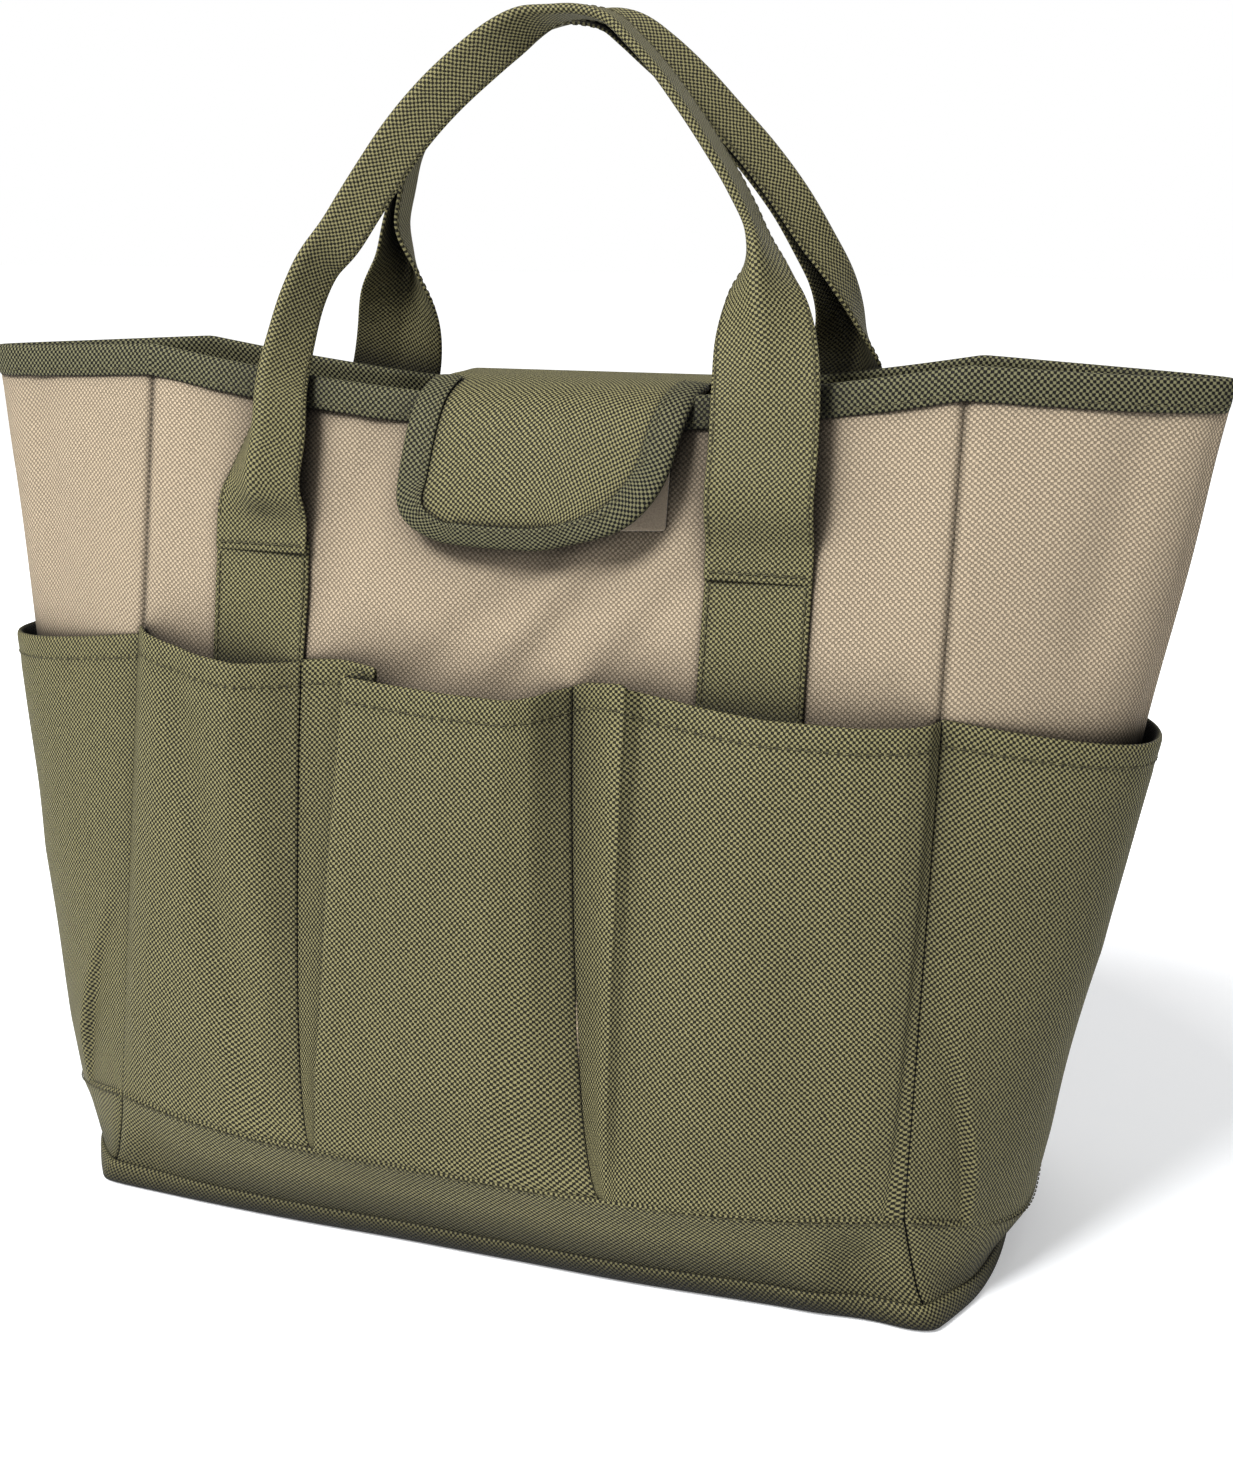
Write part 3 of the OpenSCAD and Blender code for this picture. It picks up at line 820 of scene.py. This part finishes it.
# ---------------------------------------------------------------- flap
FLAP_W, FLAP_MID, FLAP_SKEW = 109.0, 13.0, 4.5
FLAP_LINE = [
    (43.5, 292), (39.5, 306), (35.5, 320), (31.5, 331), (30.2, 336.5), (26.5, 340), (20, 341.2), (8, 341.2),
    (-10, 340.8), (-23, 338.2), (-32, 333), (-38, 325), (-42.5, 315), (-47, 303), (-50, 294), (-51, 288.5),
    (-50.6, 284),
]


def smooth_line(points, step=2.5):
    """Smooth curve through points, in steps of about the given length; extra columns follow along."""
    p = np.array(points, float)
    d = np.linalg.norm(np.diff(p[:, :3], axis=0), axis=1)
    slope = np.diff(p, axis=0) / d[:, None]
    turn = (slope[:-1] * d[1:, None] + slope[1:] * d[:-1, None]) / (d[:-1] + d[1:])[:, None]
    turn = np.concatenate([slope[:1], turn, slope[-1:]])
    out = []
    for k in range(len(d)):
        n = max(1, int(round(d[k] / step)))
        t = (np.arange(n) / n)[:, None]
        out.append(
            (2 * t**3 - 3 * t**2 + 1) * p[k] + (t**3 - 2 * t**2 + t) * d[k] * turn[k]
            + (3 * t**2 - 2 * t**3) * p[k + 1] + (t**3 - t**2) * d[k] * turn[k + 1]
        )
    return np.concatenate(out + [p[-1:]])


def flap_grid():
    """Middle surface of the flap from its sewn root to its end, with rounded end corners."""
    line = smooth_line(FLAP_LINE, 4)
    run = lengths(line[None], 1)[0]
    v = run / run[-1]
    turn = np.gradient(line, axis=0)
    normal = np.stack([turn[:, 1], -turn[:, 0]], -1)
    normal /= np.linalg.norm(normal, axis=1, keepdims=True)
    u = np.linspace(-1, 1, 49)
    front = ease((v - 0.45) / 0.5)
    left_of_end = (1 - v) * run[-1]
    sides = []
    for radius, taper in ((17.0, 0.0), (34.0, 0.10)):
        cut = np.clip(radius - left_of_end, 0, radius)
        sides.append(FLAP_W / 2 * (1 - taper * front) - radius + np.sqrt(radius**2 - cut**2))
    mid = FLAP_MID - FLAP_SKEW * front
    uu, vv = np.meshgrid(u, v)
    half = np.where(uu < 0, sides[0][:, None], sides[1][:, None])
    puff = (1.6 * (1 - uu**2) + waves(uu * 50, vv * 180, 70, 0.7, 51)) * front[:, None]
    x = mid[:, None] + uu * half
    end = 1.5 * (1 - (uu + 0.3) ** 2) * ease((vv - 0.8) / 0.2)
    y = line[:, 0][:, None] + puff * normal[:, 0][:, None]
    z = line[:, 1][:, None] + puff * normal[:, 1][:, None] - end
    p = stack(x, y, z)
    n = stack(0 * x, normal[:, 0][:, None] + 0 * x, normal[:, 1][:, None] + 0 * x)
    return p, n


def bend_flap(obj):
    """Bakes the flap piece's placement into its mesh."""
    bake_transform(obj)


def loose(obj, material, slot, *nodes):
    obj.data.materials.clear()
    obj.data.materials.append(material)
    if nodes:
        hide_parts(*nodes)
    return obj


def build_flap():
    p, n = flap_grid()
    obj = thicken(grid_mesh("flap_cloth", p[::-1]), FLAP_CLOTH)
    loose(obj, olive_cloth, "pocket_fabric", "flap", "flap_tab")
    bend_flap(obj)
    first = 24
    left, right = p[first:, 0], p[first:, -1][::-1]
    bottom = p[-1, 2:-2]
    edge = np.concatenate([left, bottom, right])
    normal = np.concatenate([n[first:, 0], n[-1, 2:-2], n[first:, -1][::-1]])
    along = np.gradient(edge, axis=0)
    for _ in range(3):
        along[1:-1] = (along[:-2] + along[1:-1] + along[2:]) / 3
    into = np.cross(normal, along)
    into /= np.linalg.norm(into, axis=1, keepdims=True)
    into = into * (1 - 0.3 * ease((296 - edge[:, 2]) / 9))[:, None]
    rows, bound = channel_mesh("flap_webbing", edge, into, normal, False, 52)
    loose(bound, webbing, "binding_webbing", "flap_binding")
    bend_flap(bound)
    line = rows[0] - into * 2.4 + normal * 0.55
    thread = stitches("flap_stitches", [(line, normal)], "flap", "binding_webbing", olive_thread)
    root = [(p[row, 2:-2] + 0.7 * n[row, 2:-2], n[row, 2:-2]) for row in (1, 5)]
    root += [(p[1:6, col] + 0.7 * n[1:6, col], n[1:6, col]) for col in (2, -3)]
    stitches("flap_root_stitches", root, "bag", "pocket_fabric", olive_thread)
    cut = (FLAP_W * MM, lengths(p[:, 24][None], 1)[0][-1] * MM)


build_flap()


def tape(name, s0, s1, h0, h1, off):
    s, h = np.meshgrid(np.linspace(s0, s1, 24), np.linspace(h0, h1, 12))
    return thicken(grid_mesh(name, front_at(s, h, off + swell(s, h, "front"))), TAPE_CLOTH)


def build_tapes():
    lo, hi = cad("loop_patch")
    obj = tape("loop_tape_sewn", lo[0] / HALF_W, hi[0] / HALF_W, 298, 324, LAYER + 0.6)
    dress(obj, loop_tape, "bag", "loop_tape", "loop_patch")
    p, n = flap_grid()
    rows = np.flatnonzero((p[:, 24, 2] > 291) & (p[:, 24, 2] < 318) & (p[:, 24, 1] < -30))
    hook = grid_mesh("hook_tape_sewn", p[rows[0]:rows[-1] + 1, 8:41] - 1.1 * n[rows[0]:rows[-1] + 1, 8:41])
    dress(thicken(hook, HOOK_CLOTH), hook_tape, "flap", "hook_tape", "hook_patch")


build_tapes()

# ---------------------------------------------------------------- handles
# A key is a point of the grip's middle line, and how far it is folded and twisted there, in degrees.
GRIP_FRONT = [
    (-108.5, -46.5, 300, 26, 10), (-106, -40.5, 321, 42, 16), (-105.5, -34.5, 339, 52, 22),
    (-100.5, -30, 357, 70, 28), (-94.5, -27, 373, 82, 34), (-88.5, -25, 384, 87, 42),
    (-79, -23.5, 394.5, 88, 62), (-70, -22.5, 407, 88, 66), (-62, -21.5, 418, 88, 66),
    (-53, -20, 430, 88, 66), (-39, -18, 445, 88, 64), (-25, -16, 457, 88, 58), (-13, -14, 466, 88, 45),
    (-4, -12.5, 471.5, 88, 26), (4, -11.5, 474, 88, 8), (16, -11, 475, 88, 0), (28, -11, 471.5, 88, 0),
    (36, -11.5, 464.5, 88, 0), (45, -12, 455.5, 88, 0), (56, -13, 442, 88, 0), (67, -14, 427, 88, 0),
    (77.5, -15, 411, 88, 0), (84.5, -17, 398, 86, 0), (87.5, -21.5, 388, 69, 0), (89, -26, 377, 46, 0),
    (91.5, -31, 362, 22, 0), (94, -36, 345, 6, 0), (95, -40.5, 326, 0, 0), (95, -46.5, 300, 0, 0),
]
GRIP_BACK = [
    (-104, 46.5, 298, 0, 0), (-93, 42.5, 319, 0, 0), (-85, 38, 337, 4, 0), (-79.5, 33, 354, 15, 0),
    (-76, 27, 370, 34, 0), (-73.5, 21.5, 384, 62, 0), (-72, 16, 399, 84, 0), (-68, 14, 412, 88, 0),
    (-64, 13, 425, 88, 0),
    (-53, 12, 441, 88, 0), (-38, 11, 456, 88, 0), (-22, 11, 467, 88, 0), (-6, 11, 473, 88, 0),
    (10, 11.5, 475, 88, 8),
    (21, 12, 474, 88, 22), (29, 13, 470, 88, 38), (38, 14, 463, 88, 46), (50.5, 15.5, 452, 88, 47),
    (64, 17, 438, 88, 47), (77, 18.5, 424, 88, 47), (89.5, 20, 408, 88, 47), (99, 22, 393, 84, 44),
    (106.5, 25, 380, 76, 38), (111, 30, 366, 62, 30), (112, 36, 350, 38, 16), (109, 41, 332, 14, 4),
    (102, 45.5, 308, 0, 0),
]


def leg_keys(where, x):
    """The start of the grip, lapped over the strap that is sewn to the bag."""
    out = []
    for h, off in ((273, 4.0), (276, 4.0), (279, 4.0), (284, 4.3)):
        s = x / HALF_W
        level = h + droop(s, float(h))
        out.append((*front_at(s, level, off + swell(s, level, where)), 0, 0))
    return out


def handle_grid(where):
    """Strap surface: flat legs whose halves fold back to back and twist along the grip."""
    legs = [leg_keys(where, x) for x in STRAP_X[where]]
    if where == "front":
        keys = legs[0] + GRIP_FRONT + legs[1][::-1]
    else:
        legs = [[(k[0], -k[1], *k[2:]) for k in leg] for leg in legs]
        keys = legs[0] + GRIP_BACK + legs[1][::-1]
    turn_way = 1 if where == "front" else -1
    line = smooth_line(keys)
    c = line[:, :3]
    fold = np.radians(np.clip(line[:, 3], 0, 88))
    twist = np.radians(np.clip(line[:, 4], 0, 90)) * turn_way
    along = np.gradient(c, axis=0)
    along /= np.linalg.norm(along, axis=1, keepdims=True)
    s = np.clip(c[:, 0] / HALF_W, -1, 1)
    h = np.minimum(c[:, 2], RIM_H)
    face = outward(front_base(s + 0.01, h) - front_base(s - 0.01, h))
    face[:, 1] *= turn_way
    across = np.cross(face, along)
    across /= np.linalg.norm(across, axis=1, keepdims=True)
    out = np.cross(along, across)
    fold, twist = fold[:, None], twist[:, None]
    w = np.linspace(-0.5, 0.5, 25)[None] * STRAP_W * (1 - 0.08 * np.sin(fold))
    a = np.sign(w) * (np.abs(w) * np.cos(fold) + 1.1 * np.sin(fold) * np.minimum(1, np.abs(w) / 2))
    b = -np.maximum(np.abs(w) - 0.8, 0) * np.sin(fold)
    b = b - b.mean(1, keepdims=True)
    ca, sa = np.cos(twist), np.sin(twist)
    a, b = a * ca + b * sa, b * ca - a * sa
    p = c[:, None] + a[..., None] * across[:, None] + b[..., None] * out[:, None]
    run = lengths(c[None], 1)[0]
    uv = np.stack(np.broadcast_arrays(run[:, None], w), -1)
    return p, uv


def sewn_strap(where, x):
    """The flat strap on the panel, from behind the pocket up to the seam with the grip."""
    s, h = np.meshgrid((x + np.linspace(-0.5, 0.5, 21) * STRAP_W) / HALF_W, np.linspace(192, 278, 43))
    h = h + droop(s, h)
    p = front_at(s, h, 2.5 + swell(s, h, where))
    n = outward(p[:, 1:] - p[:, :-1])
    n = np.concatenate([n, n[:, -1:]], 1)
    if where == "back":
        p, n = behind(p), behind(n)
    return p, n


def build_handles():
    for where in ("front", "back"):
        body = "handle_" + where
        sewn = []
        for side, x in zip(("left", "right"), STRAP_X[where]):
            p, n = sewn_strap(where, x)
            obj = thicken(grid_mesh(f"sewn_strap_{where}_{side}", p, flip=where == "back"), STRAP_CLOTH)
            dress(obj, strap_cloth, "bag", "strap_fabric", f"strap_{where}_{side}")
            sewn += [(p[:40, col] + 0.95 * n[:40, col], n[:40, col]) for col in (1, 19)]
        stitches(f"sewn_stitches_{where}", sewn, "bag", "strap_fabric", olive_thread)
        p, uv = handle_grid(where)
        n = np.cross(np.gradient(p, axis=0), np.gradient(p, axis=1))
        n /= np.maximum(np.linalg.norm(n, axis=-1, keepdims=True), 1e-6)
        obj = thicken(grid_mesh(body + "_strap", p, uv=uv), STRAP_CLOTH)
        loose(obj, strap_cloth, "strap_fabric", body)
        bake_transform(obj)
        edges = [(p[5:-5, col] + 0.8 * n[5:-5, col], n[5:-5, col]) for col in (1, 23)]
        thread = stitches(f"grip_stitches_{where}", edges, body, "strap_fabric", olive_thread, radius=0.22)
        cut = (STRAP_W * MM, lengths(p[:, 12][None], 1)[0][-1] * MM)
        cross = [(p[row, 1:24] + 0.95 * n[row, 1:24], n[row, 1:24]) for row in (1, -2)]
        stitches(f"seam_stitches_{where}", cross, "bag", "strap_fabric", olive_thread)


build_handles()


# ---------------------------------------------------------------- seams
def seam_lines():
    """Stitched seams of the band, along its top edge."""
    s = np.linspace(-0.99, 0.99, 120)
    top = front_at(s, BAND_H - 1.2, LAYER + 2.2)
    n = outward(np.gradient(top, axis=0))
    out = [(top, n), (behind(top), behind(n))]
    for side in (-1, 1):
        p = side_at(s, BAND_H - 1.2, LAYER + 2.2, side)
        out.append((p, outward(np.gradient(p, axis=0)) * side))
    return out


stitches("band_stitches", seam_lines(), "bag", "pocket_fabric", olive_thread, pitch=3.6, length=2.4)
stitches("hem_stitches", hems, "bag", "pocket_fabric", olive_thread, pitch=3.6, length=2.6)
